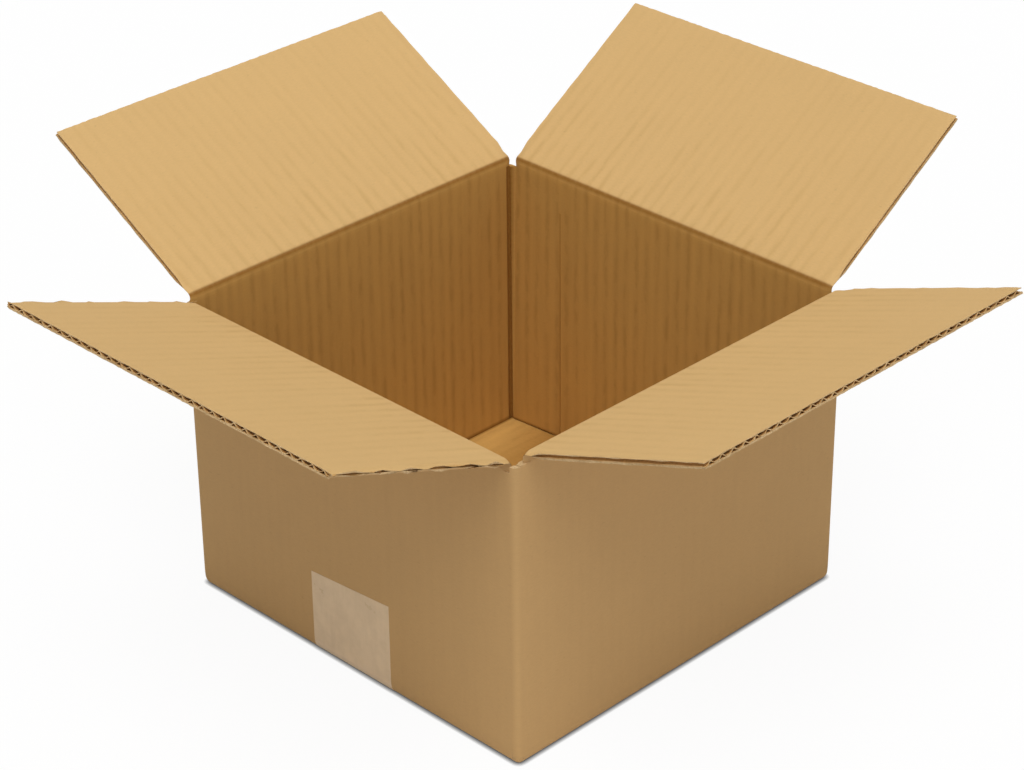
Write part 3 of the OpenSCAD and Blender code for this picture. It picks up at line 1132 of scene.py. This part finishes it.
bottomTape = makeTape(tape)
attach(bottomTape, "carton")
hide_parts("sealing_tape")
say("tape laid")

smoothAngle = math.radians(30)
for piece in (cartonBody, *flapPieces):
    selectOnly(piece)
    bpy.ops.object.shade_smooth_by_angle(angle=smoothAngle)


# Floor, light and camera

studio = {
    "floorSize": 1.5,
    "floorColour": (0.93, 0.93, 0.93, 1),
    "floorRoughness": 0.9,
    "lamps": {  # strength, spread, and the side and height that the light comes from
        "overhead": (0.72, 30, -45, 83),
        "front": (1.34, 40, -45, 66),
        "low": (0.28, 20, 0, 5),
        "side": (0.1, 24, -85, 30),
    },
    "lampHeight": 2,
    "fill": 0.34,
    "shadowLift": 0.94,  # how far the floor's shadow is thinned where the camera sees it
    "contactShadow": 2.2 * mm,  # reach of the painted contact shadow, a dark line where the box meets the floor
    "contactDark": 1.5,
    "contactSamples": 16,
}


def seenDirectly(tree):
    path = addNode(tree, "ShaderNodeLightPath")
    seen = mathNode(tree, "MAXIMUM", path.outputs["Is Camera Ray"], path.outputs["Is Glossy Ray"])
    return mathNode(tree, "MAXIMUM", seen, path.outputs["Is Transmission Ray"])


def makeFloor(spec):
    floor = addSheet("studioFloor", (0, 0, 0), (spec["floorSize"], spec["floorSize"]), (0, 0, 0))
    pale, tree, shader = newMaterial("paleFloor")
    shader.inputs["Base Color"].default_value = spec["floorColour"]
    shader.inputs["Roughness"].default_value = spec["floorRoughness"]
    shader.inputs["Specular IOR Level"].default_value = 0.0
    white = addNode(tree, "ShaderNodeEmission")
    # the white the camera sees is darkened by ambient occlusion near the box: a painted contact shadow
    contactShadow = addNode(tree, "ShaderNodeAmbientOcclusion", samples=spec["contactSamples"])
    contactShadow.inputs["Distance"].default_value = spec["contactShadow"]
    clear = mathNode(tree, "POWER", contactShadow.outputs["AO"], spec["contactDark"])
    tree.links.new(clear, white.inputs["Strength"])
    lifted = addNode(tree, "ShaderNodeMixShader")
    tree.links.new(mathNode(tree, "MULTIPLY", seenDirectly(tree), spec["shadowLift"]), lifted.inputs["Fac"])
    tree.links.new(shader.outputs["BSDF"], lifted.inputs[1])
    tree.links.new(white.outputs["Emission"], lifted.inputs[2])
    tree.links.new(lifted.outputs["Shader"], tree.nodes["Material Output"].inputs["Surface"])
    floor.data.materials.append(pale)


def addLamps(spec):
    for name, (strength, spread, side, height) in spec["lamps"].items():
        bpy.ops.object.light_add(type="SUN", location=(0, 0, spec["lampHeight"]),
                                 rotation=(quarter - math.radians(height), 0, math.radians(side)))
        lamp = bpy.context.object
        lamp.name = name
        lamp.data.energy = strength
        lamp.data.angle = math.radians(spread)


def fillWorld(spec):
    world = bpy.data.worlds.new("studioWorld")
    bpy.context.scene.world = world
    world.use_nodes = True
    tree = world.node_tree
    background = tree.nodes["Background"]
    background.inputs["Color"].default_value = (1, 1, 1, 1)
    tree.links.new(between(tree, seenDirectly(tree), spec["fill"], 1), background.inputs["Strength"])


view = {
    "azimuth": -44.9, "elevation": 29.22, "roll": -0.56,
    "right": -2.09 * mm, "up": 90.04 * mm, "away": 1372.5 * mm,
    "lens": 103.8, "sensor": 36,
}


def placeCamera(spec):
    side, tilt, lean = (math.radians(spec[key]) for key in ("azimuth", "elevation", "roll"))
    back = Vector((math.sin(side) * math.cos(tilt), -math.cos(side) * math.cos(tilt), math.sin(tilt)))
    level = Vector((math.cos(side), math.sin(side), 0))
    raised = back.cross(level)
    right = math.cos(lean) * level + math.sin(lean) * raised
    up = math.cos(lean) * raised - math.sin(lean) * level
    bpy.ops.object.camera_add()
    camera = bpy.context.object
    place = right * spec["right"] + up * spec["up"] + back * spec["away"]
    camera.matrix_world = Matrix.Translation(place) @ Matrix((right, up, back)).transposed().to_4x4()
    camera.data.sensor_width = spec["sensor"]
    camera.data.lens = spec["lens"]
    bpy.context.scene.camera = camera


makeFloor(studio)
addLamps(studio)
fillWorld(studio)
placeCamera(view)
bpy.context.scene.view_settings.view_transform = "Standard"
say("studio set")
